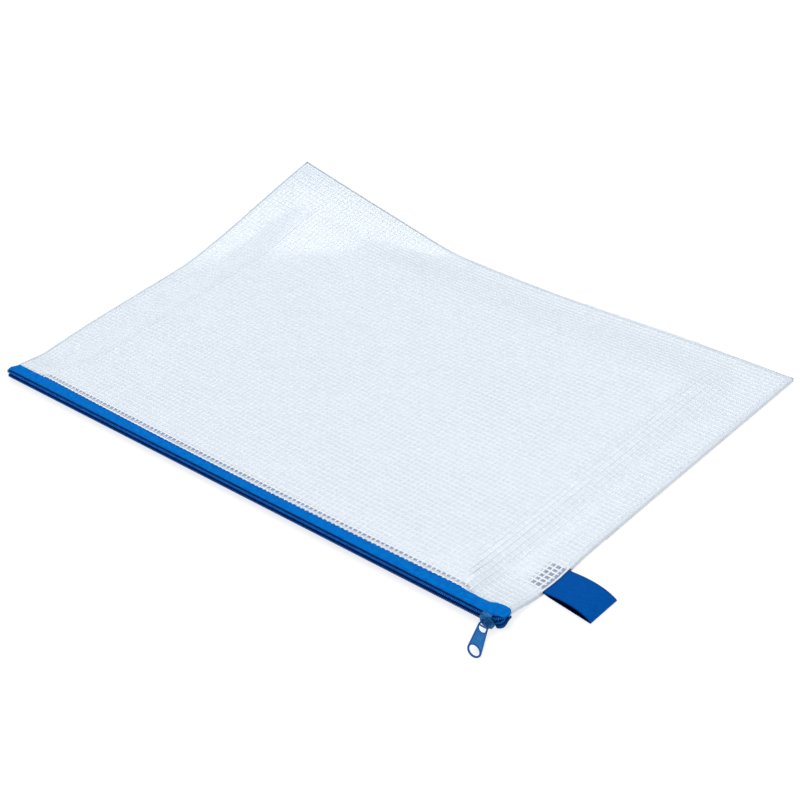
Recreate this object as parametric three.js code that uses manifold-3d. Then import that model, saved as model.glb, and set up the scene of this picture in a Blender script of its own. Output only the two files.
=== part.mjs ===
// A flat zipper pouch of clear reinforced mesh, lying with its zip closed and one back corner curled up.
// Millimetres. +X runs along the zip, -Y is the zip side, +Z is up. The origin is under the pouch's middle.
import * as THREE from 'three';
import { mergeVertices } from 'three/addons/utils/BufferGeometryUtils.js';
import Module from 'manifold-3d';

const wasm = await Module();
wasm.setup();

// The pouch as a whole
const pouchLength = 350;
const pouchDepth = 230;
const sheetThick = 0.4;
const touchGap = 0.3;

// The seams: the turned-in edges lie between the two panels, with the seam thread beside their outer edge
const allowanceThick = 0.8;
const sideAllowanceFront = 10;
const sideAllowanceBack = 12.5;
const backAllowance = 5.5;
const seamInset = 1;
const seamThreadWidth = 0.5;
const seamThreadThick = 0.6;
const seamThreadInset = 0.2;

// The room between the panels
const middleFullness = 5.9;
const frontRamp = 7;
const sideRamp = 24;
const backRamp = 30;

// The side seams climb to the middle of the zip at the two front corners
const cornerRise = 2.4;
const riseRun = 20;
const riseWidth = 8;

// The curled back left corner
const curlHeight = 25;
const curlAlongBack = 125;
const curlAlongSide = 110;
const curlPull = 7.5;
const curlStart = 0.2;
const curlStraightness = 0.6;
const curlLean = 0.25;
const curlFlattening = 0.6;

// The zip: two tapes with a coil each, whose front face is the pouch's front
const zipMiddle = 3.75;
const partingHalf = 0.55;
const coilHeight = 1.35;
const coilDepth = 1.3;
const coilWall = 0.25;
const coilCord = 0.3;
const tapeThick = 0.45;
const lipParting = 0.5;
const upperLip = 2.55;
const lowerLip = 3.05;
const bandInView = 6;
const bandUnderMesh = 6;
const bandEndInset = 3;
const bandMeshInset = 21.5;
const coilThread = 0.3;
const rightTurnInset = 0.5;
const upperCornerRadius = 2.2;
const upperReturn = 5.4;
const lowerCornerRadius = 3.2;
const lowerReturn = 7;
const leftTurnInset = 0;
const leftCornerRadius = 2.35;
const leftReturn = 5.2;
const meshStitch = 0.4;
const meshStitchThick = 0.25;
const meshStitchInset = 2;

// The slider, closed at the right end
const sliderLength = 9.8;
const sliderHeight = 7.3;
const plateThick = 1.1;
const sliderClearance = 0.4;
const sliderPastSeam = 0.9;
const noseLength = 3.6;
const noseTip = 0.7;
const shoulderRound = 1;
const rearRadius = 2.2;
const railHeight = 0.75;
const railDepth = 1.5;
const railLength = 5.4;
const railFromNose = 3.4;
const backPlateHeight = 3.5;
const backPlateThick = 0.75;
const backPlateLength = 7;
const backPlateFromNose = 2;
const postThick = 0.4;
const postLength = 2.4;

// The bridge that carries the pull, with its feet let into the slider's front plate
const bridgeSpan = 6.4;
const bridgeReach = 3.3;
const bridgeBar = 0.65;
const bridgeWidth = 0.7;
const bridgeRound = 1.1;
const bridgeFromNose = 4.9;
const socketDepth = 0.6;

// The pull tab, lying out on the table and leaning on one edge
const pullThick = 0.7;
const pullRootRadius = 2.6;
const pullEndRadius = 3.65;
const pullHoleRadius = 2.95;
const pullHoleFromBar = 14.75;
const eyeRadius = 1.9;
const eyeBehindBar = 1.8;
const eyePastBar = 3.4;
const pullYaw = 25.5;
const pullDrop = 2.5;
const pullLean = -42;

// The ribbon loop in the right seam
const ribbonThick = 0.4;
const ribbonWidth = 19.5;
const strapFromFront = 38.25;
const strapReach = 31;
const strapTuck = 7;
const strapBow = 2.8;
const strapFloor = 0.1;
const strapFold = 0.3;
const strapStitchThick = 0.25;

// Derived places
const halfLength = pouchLength / 2;
const frontY = -pouchDepth / 2;
const backY = pouchDepth / 2;
const tapeOffset = coilDepth + touchGap;
const bandFrontEdge = frontY + tapeOffset + bandInView;
const bandRear = bandFrontEdge + bandUnderMesh;
const panelFrontY = bandFrontEdge + touchGap;
const seamLow = sheetThick + touchGap;
const seamStack = seamLow + allowanceThick + touchGap;
const seamOuter = halfLength - seamInset;
const seamFrontY = panelFrontY + seamInset;
const seamBackY = backY - seamInset;
const strapY = frontY + strapFromFront;
const zipStraightEnd = halfLength - rightTurnInset;
const zipStraightStart = -halfLength + leftTurnInset;
const sliderRightEnd = halfLength + sliderPastSeam;
const plateBackY = frontY - sliderClearance;
const plateFrontY = plateBackY - plateThick;
const bridgeX = sliderRightEnd - bridgeFromNose;
const bridgeBarY = plateFrontY - bridgeReach + bridgeBar / 2;

// Lines on which the panels and everything sewn to them are bent
const curlEnd = -halfLength + curlAlongBack;
const rampStart = halfLength - seamInset - sideAllowanceBack - sideRamp;
const columnLines = [
  ...steps(-halfLength, curlEnd, 12),
  ...steps(curlEnd, rampStart, 6),
  ...steps(rampStart, rampStart + sideRamp, 6),
  halfLength,
];
const curlFront = backY - curlAlongSide;
const rowLines = [
  ...steps(panelFrontY, panelFrontY + riseRun, 5),
  ...steps(panelFrontY + riseRun, curlFront, 6),
  ...steps(curlFront, seamBackY - backAllowance, 10),
  seamBackY - backAllowance,
  seamBackY,
  backY,
];

const pouch = new THREE.Group();

const clear = new THREE.MeshStandardMaterial({ color: 0xe4edf7, roughness: 0.35, metalness: 0 });
const clearFold = new THREE.MeshStandardMaterial({ color: 0xc3d3e6, roughness: 0.35, metalness: 0 });
const whiteThread = new THREE.MeshStandardMaterial({ color: 0xf2f5f8, roughness: 0.8, metalness: 0 });
const tapeBlue = new THREE.MeshStandardMaterial({ color: 0x0a66c2, roughness: 0.85, metalness: 0 });
const coilBlue = new THREE.MeshStandardMaterial({ color: 0x0b4f9e, roughness: 0.5, metalness: 0 });
const threadBlue = new THREE.MeshStandardMaterial({ color: 0x083f86, roughness: 0.8, metalness: 0 });
const enamelBlue = new THREE.MeshStandardMaterial({ color: 0x1a63a8, roughness: 0.4, metalness: 0.2 });
const ribbonBlue = new THREE.MeshStandardMaterial({ color: 0x0552ad, roughness: 0.85, metalness: 0 });

function add(name, geometry, material, parent = pouch) {
  const mesh = new THREE.Mesh(geometry, material);
  mesh.name = name;
  parent.add(mesh);
  return mesh;
}

// Numbers and lines
function steps(from, to, count) {
  return Array.from({ length: count }, (_, i) => from + (to - from) * (i / count));
}

function within(lines, from, to) {
  return [from, ...lines.filter((line) => line > from + touchGap && line < to - touchGap), to];
}

function clamp01(t) {
  return Math.min(1, Math.max(0, t));
}

function ease(t) {
  const s = clamp01(t);
  return s * s * (3 - 2 * s);
}

function mix(a, b, t) {
  return a + (b - a) * t;
}

// Booleans
function toSolid(geometry) {
  const bare = geometry.clone();
  bare.deleteAttribute('normal');
  bare.deleteAttribute('uv');
  const merged = mergeVertices(bare, 1e-4);
  return new wasm.Manifold(new wasm.Mesh({
    numProp: 3,
    vertProperties: new Float32Array(merged.attributes.position.array),
    triVerts: new Uint32Array(merged.index.array),
  }));
}

function toGeometry(solid) {
  const mesh = solid.getMesh();
  const geometry = new THREE.BufferGeometry();
  geometry.setAttribute('position', new THREE.BufferAttribute(new Float32Array(mesh.vertProperties), 3));
  geometry.setIndex(new THREE.BufferAttribute(new Uint32Array(mesh.triVerts), 1));
  geometry.computeVertexNormals();
  return geometry;
}

function join(geometries) {
  return toGeometry(geometries.map(toSolid).reduce((whole, solid) => whole.add(solid)));
}

function cut(geometry, tools) {
  return toGeometry(tools.map(toSolid).reduce((whole, tool) => whole.subtract(tool), toSolid(geometry)));
}

function block(x0, x1, y0, y1, z0, z1) {
  const geometry = new THREE.BoxGeometry(x1 - x0, y1 - y0, z1 - z0);
  geometry.translate((x0 + x1) / 2, (y0 + y1) / 2, (z0 + z1) / 2);
  return geometry;
}

function plate(shape, depth, curveSegments) {
  return new THREE.ExtrudeGeometry(shape, { depth, bevelEnabled: false, curveSegments });
}

// Height of the curl: nothing in front of a slanting fold, then rising towards the back left corner.
function curl(x, y) {
  const alongBack = (curlEnd - x) / curlAlongBack;
  const alongSide = (y - curlFront) / curlAlongSide;
  const past = alongBack + alongSide - 1;
  if (past <= 0) {
    return 0;
  }
  const started = past < curlStart ? past * past / (2 * curlStart) : past - curlStart / 2;
  const t = started / (1 - curlStart / 2);
  const room = Math.max(1 - past, Number.EPSILON);
  const lean = Math.max(-1, Math.min(1, (alongBack - alongSide) / room));
  const straightness = curlStraightness - curlLean * lean;
  return curlHeight * (straightness * t + (1 - straightness) * t * t);
}

// How far the side edges are lifted at the front corners.
function rise(x, y) {
  const inside = halfLength - Math.abs(x) - seamInset - sideAllowanceBack;
  return cornerRise * (1 - ease(inside / riseWidth)) * (1 - ease((y - panelFrontY) / riseRun));
}

function underside(x, y) {
  return curl(x, y) + rise(x, y);
}

// The upper panel's underside: low at the seams, and full in the middle and along the zip.
function upperPanelLow(x, y) {
  const inside = halfLength - Math.abs(x) - seamInset - sideAllowanceBack;
  const ramp = mix(frontRamp, sideRamp, ease((y - bandRear) / riseRun));
  const spread = ease(inside / ramp) * ease((backY - y - seamInset - backAllowance) / backRamp);
  const overZip = zipMiddle + upperLip + touchGap;
  const full = mix(overZip, middleFullness, ease((y - bandRear) / (pouchDepth / 3)));
  const seam = seamStack + underside(x, y);
  const open = curl(x, y) + mix(full, seamStack, curlFlattening * clamp01(curl(x, y) / curlHeight));
  return mix(seam, Math.max(seam, open), spread);
}

// A thin solid over part of the pouch, between two heights. Its columns may depend on the row they are in.
function layer({ columns, rows, low, high }) {
  const at = typeof columns === 'function' ? columns : () => columns;
  const across = at(rows[0]).length - 1;
  const along = rows.length - 1;
  const geometry = new THREE.BoxGeometry(1, 1, 1, across, along, 1);
  const position = geometry.attributes.position;
  for (let i = 0; i < position.count; i += 1) {
    const y = rows[Math.round((position.getY(i) + 0.5) * along)];
    const x = at(y)[Math.round((position.getX(i) + 0.5) * across)];
    const z = position.getZ(i) > 0 ? high(x, y) : low(x, y);
    position.setXYZ(i, x + curlPull * (curl(x, y) / curlHeight) ** 2, y, z);
  }
  geometry.computeVertexNormals();
  return geometry;
}

function between(surface, from, to) {
  return { low: (x, y) => surface(x, y) + from, high: (x, y) => surface(x, y) + to };
}

function addPanels() {
  const sheet = { columns: columnLines, rows: rowLines };
  add('bottom_mesh_panel', layer({ ...sheet, ...between(underside, 0, sheetThick) }), clear);
  add('top_mesh_panel', layer({ ...sheet, ...between(upperPanelLow, 0, sheetThick) }), clear);
}

// The turned-in edges
function sideAllowance(y) {
  return mix(sideAllowanceFront, sideAllowanceBack, (y - seamFrontY) / (seamBackY - seamFrontY));
}

function addSeamAllowances() {
  const heights = between(underside, seamLow, seamLow + allowanceThick);
  const side = { rows: within(rowLines, seamFrontY, seamBackY), ...heights };
  const leftColumns = (y) => [-seamOuter, -seamOuter + sideAllowance(y)];
  const rightColumns = (y) => [seamOuter - sideAllowance(y), seamOuter];
  const half = ribbonWidth / 2 + touchGap;
  const notchX = halfLength - strapTuck - touchGap;
  const notch = block(notchX, halfLength, strapY - half, strapY + half, 0, seamStack);
  add('left_seam_allowance', layer({ ...side, columns: leftColumns }), clearFold);
  add('right_seam_allowance', cut(layer({ ...side, columns: rightColumns }), [notch]), clearFold);
  const inner = seamOuter - sideAllowanceBack - touchGap;
  add('back_seam_allowance', layer({
    ...heights, columns: within(columnLines, -inner, inner), rows: [seamBackY - backAllowance, seamBackY],
  }), clearFold);
}

// The seam threads, with a run of its own through the ribbon's ends
function addSeamThreads() {
  const outer = halfLength - seamThreadInset;
  const left = [-outer, -outer + seamThreadWidth];
  const right = [outer - seamThreadWidth, outer];
  const back = [backY - seamThreadInset - seamThreadWidth, backY - seamThreadInset];
  const half = ribbonWidth / 2 + touchGap;
  const sideEnd = back[0] - touchGap;
  const thread = (name, columns, rows) => {
    const heights = between(underside, seamLow, seamLow + seamThreadThick);
    add(name, layer({ columns, rows, ...heights }), whiteThread);
  };
  thread('left_seam_thread', left, within(rowLines, seamFrontY, sideEnd));
  thread('right_seam_thread_front', right, within(rowLines, seamFrontY, strapY - half));
  thread('right_seam_thread_rear', right, within(rowLines, strapY + half, sideEnd));
  thread('back_seam_thread', within(columnLines, -outer, outer), back);
  const stitchTop = seamStack - touchGap;
  const strapHalf = ribbonWidth / 2;
  add('strap_stitching', block(right[0], right[1], strapY - strapHalf, strapY + strapHalf,
    stitchTop - strapStitchThick, stitchTop), whiteThread);
}

// A path whose points are the rings of a sweep, one to a step.
class RingPath extends THREE.Curve {
  constructor(points) {
    super();
    this.points = points;
  }

  getPoint(t) {
    const along = t * (this.points.length - 1);
    const ring = Math.min(this.points.length - 2, Math.floor(along));
    return this.points[ring].clone().lerp(this.points[ring + 1], along - ring);
  }

  getPointAt(t) {
    return this.getPoint(t);
  }

  getTangentAt(t) {
    const last = this.points.length - 1;
    const ring = Math.round(t * last);
    const before = this.points[Math.max(0, ring - 1)];
    const after = this.points[Math.min(last, ring + 1)];
    return after.clone().sub(before).normalize();
  }
}

// The zip's front line seen from above: round the left end, across the front, and round the right end.
function zipPath(right) {
  const turn = steps(0, 1, 6).concat(1);
  const corner = (x, radius, from) => turn.map((t) => {
    const angle = from + (Math.PI / 2) * t;
    const y = frontY + radius;
    return new THREE.Vector3(x + radius * Math.cos(angle), y + radius * Math.sin(angle), zipMiddle);
  });
  const leftEnd = zipStraightStart - leftCornerRadius;
  const rightEnd = zipStraightEnd + right.radius;
  return new RingPath([
    new THREE.Vector3(leftEnd, frontY + leftCornerRadius + leftReturn, zipMiddle),
    ...corner(zipStraightStart, leftCornerRadius, Math.PI),
    ...corner(zipStraightEnd, right.radius, -Math.PI / 2),
    new THREE.Vector3(rightEnd, frontY + right.radius + right.back, zipMiddle),
  ]);
}

// Sweeps a section along the zip. A point is [distance behind the front line, height over the zip's middle].
function sweepZip(section, right) {
  const path = zipPath(right);
  const shape = new THREE.Shape(section.map(([behind, height]) => new THREE.Vector2(-height, behind)));
  return new THREE.ExtrudeGeometry(shape, { steps: path.points.length - 1, extrudePath: path });
}

function rectangle(behind0, behind1, height0, height1) {
  return [[behind0, height0], [behind1, height0], [behind1, height1], [behind0, height1]];
}

// A coil's section is open at the back, where its turns grip the tape.
function coilSection(side) {
  const near = side * partingHalf;
  const far = side * (partingHalf + coilHeight);
  const nearWall = near + side * coilWall;
  const farWall = far - side * coilWall;
  return [
    [0, near], [coilDepth, near], [coilDepth, nearWall], [coilWall, nearWall],
    [coilWall, farWall], [coilDepth, farWall], [coilDepth, far], [0, far],
  ];
}

// The flat part of a tape, narrower where it lies under the mesh.
function tapeBand(low) {
  const wide = halfLength - bandEndInset;
  const narrow = halfLength - bandMeshInset;
  const front = block(-wide, wide, frontY + tapeOffset, bandFrontEdge, low, low + tapeThick);
  const rear = block(-narrow, narrow, bandFrontEdge - bandInView / 2, bandRear, low, low + tapeThick);
  return [front, rear];
}

function addZipSide(word, side, lipReach, right) {
  const lip = rectangle(tapeOffset, tapeOffset + tapeThick, side * lipParting, side * lipReach);
  const bandLow = zipMiddle + (side > 0 ? lipReach - tapeThick : -lipReach);
  add(`${word}_zip_tape`, join([sweepZip(lip, right), ...tapeBand(bandLow)]), tapeBlue);
  add(`${word}_zip_coil`, sweepZip(coilSection(side), right), coilBlue);

  const middle = side * (partingHalf + coilHeight / 2);
  const cordFront = (coilWall + coilDepth - coilCord) / 2;
  const cord = rectangle(cordFront, cordFront + coilCord, middle - coilCord / 2, middle + coilCord / 2);
  add(`${word}_coil_cord`, sweepZip(cord, right), whiteThread);

  const near = side * (partingHalf + coilHeight + touchGap);
  const threadBack = tapeOffset - touchGap;
  const thread = rectangle(threadBack - coilThread, threadBack, near, near + side * coilThread);
  add(`${word}_coil_thread`, sweepZip(thread, right), threadBlue);
}

// The rows that sew each mesh edge to its tape
function addMeshStitching() {
  const y0 = panelFrontY + meshStitchInset;
  const wide = halfLength - bandMeshInset - touchGap;
  const row = { columns: within(columnLines, -wide, wide), rows: [y0, y0 + meshStitch] };
  const above = sheetThick + touchGap;
  const onTop = between(upperPanelLow, above, above + meshStitchThick);
  add('top_mesh_stitching', layer({ ...row, ...onTop }), whiteThread);
  const inside = zipMiddle - lowerLip + tapeThick + touchGap;
  const onTape = { low: () => inside, high: () => inside + meshStitchThick };
  add('bottom_mesh_stitching', layer({ ...row, ...onTape }), whiteThread);
}

// Stands a plan drawn in the zip's front face up, with its thickness towards the pouch's front.
function standUp(geometry, x, y) {
  geometry.rotateX(Math.PI / 2);
  geometry.translate(x, y, zipMiddle);
  return geometry;
}

// The slider's front plate: round at the rear end, with a blunt pointed nose
function frontPlate() {
  const left = -sliderLength;
  const half = sliderHeight / 2;
  const shoulder = -noseLength;
  const cheek = shoulder + 1.5 * shoulderRound;
  const shape = new THREE.Shape();
  shape.moveTo(shoulder, -half);
  shape.quadraticCurveTo(shoulder + shoulderRound, -half, cheek, -half + shoulderRound);
  shape.lineTo(-noseTip / 2, -noseTip);
  shape.quadraticCurveTo(0, 0, -noseTip / 2, noseTip);
  shape.lineTo(cheek, half - shoulderRound);
  shape.quadraticCurveTo(shoulder + shoulderRound, half, shoulder, half);
  shape.lineTo(left + rearRadius, half);
  shape.absarc(left + rearRadius, half - rearRadius, rearRadius, Math.PI / 2, Math.PI, false);
  shape.absarc(left + rearRadius, -half + rearRadius, rearRadius, Math.PI, Math.PI * 1.5, false);
  const geometry = plate(shape, plateThick, 6);
  return standUp(geometry, sliderRightEnd, plateBackY);
}

// Front plate, two rails over the coils, and a thin post between the coils to the back plate inside the pouch
function sliderBody() {
  const inside = plateBackY - plateThick / 2;
  const railX = sliderRightEnd - railFromNose - railLength;
  const railBackY = plateBackY + railDepth;
  const railOut = zipMiddle + sliderHeight / 2;
  const railOutBelow = zipMiddle - sliderHeight / 2;
  const backX = sliderRightEnd - backPlateFromNose - backPlateLength;
  const backPlateY = frontY + tapeOffset + tapeThick + touchGap;
  const postX = backX + backPlateLength - postLength;
  const postBackY = backPlateY + backPlateThick / 2;
  const solid = join([
    frontPlate(),
    block(railX, railX + railLength, inside, railBackY, railOut - railHeight, railOut),
    block(railX, railX + railLength, inside, railBackY, railOutBelow, railOutBelow + railHeight),
    block(postX, postX + postLength, inside, postBackY, zipMiddle - postThick / 2, zipMiddle + postThick / 2),
    block(backX, backX + backPlateLength, backPlateY, backPlateY + backPlateThick,
      zipMiddle - backPlateHeight / 2, zipMiddle + backPlateHeight / 2),
  ]);
  const footHalf = bridgeWidth / 2 + touchGap;
  const sockets = [-1, 1].map((side) => {
    const middle = bridgeX + side * (bridgeSpan - bridgeBar) / 2;
    const halfBar = bridgeBar / 2 + touchGap;
    return block(middle - halfBar, middle + halfBar, plateFrontY - 1, plateFrontY + socketDepth,
      zipMiddle - footHalf, zipMiddle + footHalf);
  });
  return cut(solid, sockets);
}

// An arch along the zip, standing in the front plate's two sockets
function sliderBridge() {
  const half = bridgeSpan / 2;
  const reach = bridgeReach + socketDepth - touchGap;
  const round = bridgeRound;
  const inHalf = half - bridgeBar;
  const inReach = reach - bridgeBar;
  const inRound = round - bridgeBar / 2;
  const shape = new THREE.Shape();
  shape.moveTo(half, 0);
  shape.lineTo(half, reach - round);
  shape.quadraticCurveTo(half, reach, half - round, reach);
  shape.lineTo(-half + round, reach);
  shape.quadraticCurveTo(-half, reach, -half, reach - round);
  shape.lineTo(-half, 0);
  shape.lineTo(-inHalf, 0);
  shape.lineTo(-inHalf, inReach - inRound);
  shape.quadraticCurveTo(-inHalf, inReach, -inHalf + inRound, inReach);
  shape.lineTo(inHalf - inRound, inReach);
  shape.quadraticCurveTo(inHalf, inReach, inHalf, inReach - inRound);
  shape.lineTo(inHalf, 0);
  const geometry = plate(shape, bridgeWidth, 5);
  geometry.translate(0, 0, -bridgeWidth / 2);
  geometry.rotateX(Math.PI);
  geometry.translate(bridgeX, plateFrontY + socketDepth - touchGap, zipMiddle);
  return geometry;
}

// A tapered tab in its own plane, pointing along +X from the bridge's bar, with a long eye and a round hole
function pullTab() {
  const rootX = eyeRadius - eyeBehindBar;
  const spread = Math.asin((pullEndRadius - pullRootRadius) / (pullHoleFromBar - rootX));
  const quarter = Math.PI / 2;
  const shape = new THREE.Shape();
  shape.absarc(pullHoleFromBar, 0, pullEndRadius, -quarter - spread, quarter + spread, false);
  shape.absarc(rootX, 0, pullRootRadius, quarter + spread, quarter * 3 - spread, false);
  const eye = new THREE.Path();
  eye.absarc(eyePastBar - eyeRadius, 0, eyeRadius, -quarter, quarter, false);
  eye.absarc(rootX, 0, eyeRadius, quarter, quarter * 3, false);
  const hole = new THREE.Path();
  hole.absarc(pullHoleFromBar, 0, pullHoleRadius, 0, quarter * 4, true);
  shape.holes.push(eye, hole);
  const geometry = plate(shape, pullThick, 12);
  geometry.translate(0, 0, -pullThick / 2);
  return geometry;
}

function addSlider() {
  add('slider_body', sliderBody(), enamelBlue);
  add('slider_bridge', sliderBridge(), enamelBlue);
  const swing = new THREE.Group();
  swing.position.set(bridgeX, bridgeBarY, zipMiddle);
  swing.rotation.z = THREE.MathUtils.degToRad(pullYaw - 90);
  const drop = new THREE.Group();
  drop.rotation.y = THREE.MathUtils.degToRad(pullDrop);
  swing.add(drop);
  pouch.add(swing);
  const tab = add('pull_tab', pullTab(), enamelBlue, drop);
  tab.rotation.x = THREE.MathUtils.degToRad(pullLean);
}

// A ribbon folded into a loop: both ends in the right seam, the lower run flat, the upper run bowed up
function strapLoop() {
  const root = halfLength - strapTuck;
  const mouth = halfLength + touchGap;
  const tip = halfLength + strapReach;
  const x = (share) => mix(mouth, tip, share);
  const rootLow = seamLow;
  const rootMiddle = seamLow + ribbonThick;
  const rootTop = seamLow + 2 * ribbonThick;
  const insideTop = strapFloor + ribbonThick + strapFold;
  const foldTop = insideTop + ribbonThick;
  const crown = foldTop + strapBow;
  const shape = new THREE.Shape();
  shape.moveTo(root, rootLow);
  shape.lineTo(mouth, rootLow);
  shape.lineTo(x(0.12), strapFloor);
  shape.lineTo(tip - ribbonThick, strapFloor);
  shape.quadraticCurveTo(tip, strapFloor, tip, (strapFloor + foldTop) / 2);
  shape.quadraticCurveTo(tip, foldTop, tip - ribbonThick, foldTop);
  shape.bezierCurveTo(x(0.8), crown + ribbonThick, x(0.45), crown, x(0.1), rootTop + ribbonThick / 2);
  shape.lineTo(mouth, rootTop);
  shape.lineTo(root, rootTop);
  const gap = new THREE.Path();
  gap.moveTo(x(0.12), rootMiddle);
  gap.lineTo(x(0.2), strapFloor + ribbonThick);
  gap.lineTo(tip - 2 * ribbonThick, strapFloor + ribbonThick);
  gap.lineTo(tip - 2 * ribbonThick, insideTop);
  gap.bezierCurveTo(x(0.78), crown - ribbonThick / 2, x(0.48), crown - ribbonThick, x(0.12), rootMiddle);
  shape.holes.push(gap);
  const geometry = plate(shape, ribbonWidth, 12);
  geometry.rotateX(Math.PI / 2);
  geometry.translate(0, strapY + ribbonWidth / 2, 0);
  const stitchOuter = halfLength - seamThreadInset + touchGap;
  const grooveFloor = seamStack - touchGap - 2 * strapStitchThick;
  const groove = block(stitchOuter - seamThreadWidth - 2 * touchGap, stitchOuter,
    strapY - ribbonWidth, strapY + ribbonWidth, grooveFloor, seamStack);
  return cut(geometry, [groove]);
}

addPanels();
addSeamAllowances();
addSeamThreads();
addZipSide('upper', 1, upperLip, { radius: upperCornerRadius, back: upperReturn });
addZipSide('lower', -1, lowerLip, { radius: lowerCornerRadius, back: lowerReturn });
addMeshStitching();
addSlider();
add('strap_loop', strapLoop(), ribbonBlue);

export default pouch;
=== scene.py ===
"""Looks of a clear mesh pouch with a blue zip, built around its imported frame.

Lengths are in millimetres. X runs along the zip to the slider, Y from the zip to the back edge, and Z up.
"""

import math

import bmesh
import bpy
import numpy as np
from mathutils import Matrix, Vector

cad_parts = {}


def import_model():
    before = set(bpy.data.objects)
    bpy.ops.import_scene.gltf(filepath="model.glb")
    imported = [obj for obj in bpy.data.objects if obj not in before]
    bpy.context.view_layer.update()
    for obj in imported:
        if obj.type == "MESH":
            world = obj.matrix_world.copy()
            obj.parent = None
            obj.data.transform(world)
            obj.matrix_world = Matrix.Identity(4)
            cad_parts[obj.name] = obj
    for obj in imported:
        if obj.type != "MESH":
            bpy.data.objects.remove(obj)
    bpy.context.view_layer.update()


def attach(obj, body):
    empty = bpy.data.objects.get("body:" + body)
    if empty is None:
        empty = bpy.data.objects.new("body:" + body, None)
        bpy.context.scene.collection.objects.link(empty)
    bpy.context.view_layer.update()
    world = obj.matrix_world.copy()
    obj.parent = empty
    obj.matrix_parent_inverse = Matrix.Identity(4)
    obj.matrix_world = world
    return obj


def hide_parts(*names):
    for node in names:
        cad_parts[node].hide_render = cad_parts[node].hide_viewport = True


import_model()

# The pouch, as in the part's source, with the curl reaching a little further, as in the photo
HALF = 175.0
FRONT = -115.0
BACK = 115.0
PANEL_FRONT = -107.1
BAND_REAR = -101.4
SHEET = 0.4
TOUCH = 0.3
SEAM_INSET = 1.0
SEAM_LOW = 0.7
SEAM_STACK = 1.8
SEAM_OUTER = HALF - SEAM_INSET
SEAM_FRONT = PANEL_FRONT + SEAM_INSET
SEAM_BACK = BACK - SEAM_INSET
SIDE_FRONT = 10.0
SIDE_BACK = 12.5
BACK_FOLD = 5.5
FULL_OVER_ZIP = 6.6
FULL_MIDDLE = 5.9
FULL_RUN = 2 * BACK / 3
FRONT_RAMP = 15.0
SIDE_RAMP = 24.0
BACK_RAMP = 30.0
CORNER_RISE = 2.4
RISE_RUN = 20.0
RISE_WIDTH = 8.0
CURL_HEIGHT = 26.0
CURL_BACK = 138.0
CURL_SIDE = 110.0
CURL_PULL = 10.0
CURL_START = 0.2
CURL_STRAIGHT = 0.66
CURL_LEAN = 0.31
CURL_FLATTEN = 0.6
CURL_END = -HALF + CURL_BACK
CURL_FRONT = BACK - CURL_SIDE

# Small shapes that only the looks have
BACK_BOW = 3.2
BACK_BOW_MIDDLE = 20.0
BACK_BOW_REACH = 75.0
BACK_BOW_FADE = 90.0
FRONT_BOW = 1.7
FRONT_BOW_HALF = 153.0
LEFT_PULL = 3.0
LEFT_PULL_DEEP = 40.0
LEFT_PULL_FROM = 130.0
LEFT_PULL_RUN = 45.0
EDGE_BULGE = 0.25
EDGE_LAP = 0.6
EDGE_CLEAR = 0.08
PANEL_WAVE = 0.45
WAVE_RUN = 25.0

# The film and its scrim
FILM = 0.12
PITCH_X = 2.869
PITCH_Y = 2.875
WEFT_WIDE = 1.25
WARP_WIDE = 1.05
THREAD_THICK = 0.3
TUBE_SIDES = 6
FRINGE = 0.15
EDGE_GAP = 0.1
ROW_GAP = 0.5
NOTCH_STEP = 0.05
SPARE_THREADS = 4
LOWER_TURN = math.radians(0.6)
LOWER_SHIFT = (1.1, 1.1)
UPPER_SHIFT = (0.9, 0.15)
PLY_SHIFT_X = 0.3
PLY_SHIFT_Y = 0.9
CLEAR_FRONT = -105.1
CLEAR_REAR = -103.7
CLEAR_FADE = 3.0
TAPE_HALF = 152.0

# Stitches, each row's as their length, width and thickness
SEAM_STITCH = (2.6, 0.5, 0.6)
STRAP_STITCH = (2.4, 0.45, 0.28)
MESH_STITCH = (2.6, 0.42, 0.27)
SEAM_SEWN_IN = 0.45
SEAM_SEWN_UP = 0.3
STRAP_SEWN_Z = 1.375
MESH_SEWN_IN = 1.1
MESH_SEWN_HALF = 153.2
TOP_SEWN_UP = 0.82
BOTTOM_SEWN_Z = 1.575

# The zip. Each right end gives where the straight run stops, its corner's radius and the run back from there
ZIP_Z = 3.75
ZIP_LEFT = -169.9
LEFT_RADIUS = 2.35
LEFT_BACK = 1.2
LEFT_SLANT = 2.7
FLAT_LEFT = -171.4
UPPER_RIGHT = (170.2, 6.5, 1.1)
LOWER_RIGHT = (172.6, 4.6, 3.0)
PART_HALF = 0.75
COIL_HIGH = 1.2
COIL_DEEP = 1.3
TURN_PITCH = 1.05
TURN_WIRE = 0.6
CORE_CORD = 0.28
COIL_STITCH = (TURN_PITCH, 0.34, 0.3)
COIL_SEWN_BACK = 1.15
COIL_SEWN_OUT = 0.45
TAPE = 0.45
LIP = 1.6
LIP_GAP = 0.3
LIP_BEND = 0.55
UPPER_LIP = 2.55
LOWER_LIP = 3.05
LEFT_SNUG = 0.4
MESH_CORNER = 149
FLAT_ROUND = 0.65
TAPE_RIPPLE = 0.07
TONGUE_LAP = 0.4
TONGUE_PAST = 0.35
TONGUE_HOLLOW = 1.1

# The right end of the lower half of the zip, rolled over and lifted to meet the upper half
TUCK_FROM = 172.4
TUCK_RUN = 2.2
COIL_TUCK_BACK = 0.95
COIL_TUCK_UP = 0.3
SEWN_TUCK_BACK = 1.3
LIP_TUCK_OUT = 1.5
LIP_TUCK_DOWN = 1.2
END_LIFT = 2.3
END_LIFT_X = 172.5
END_LIFT_Y = -113.0

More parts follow.
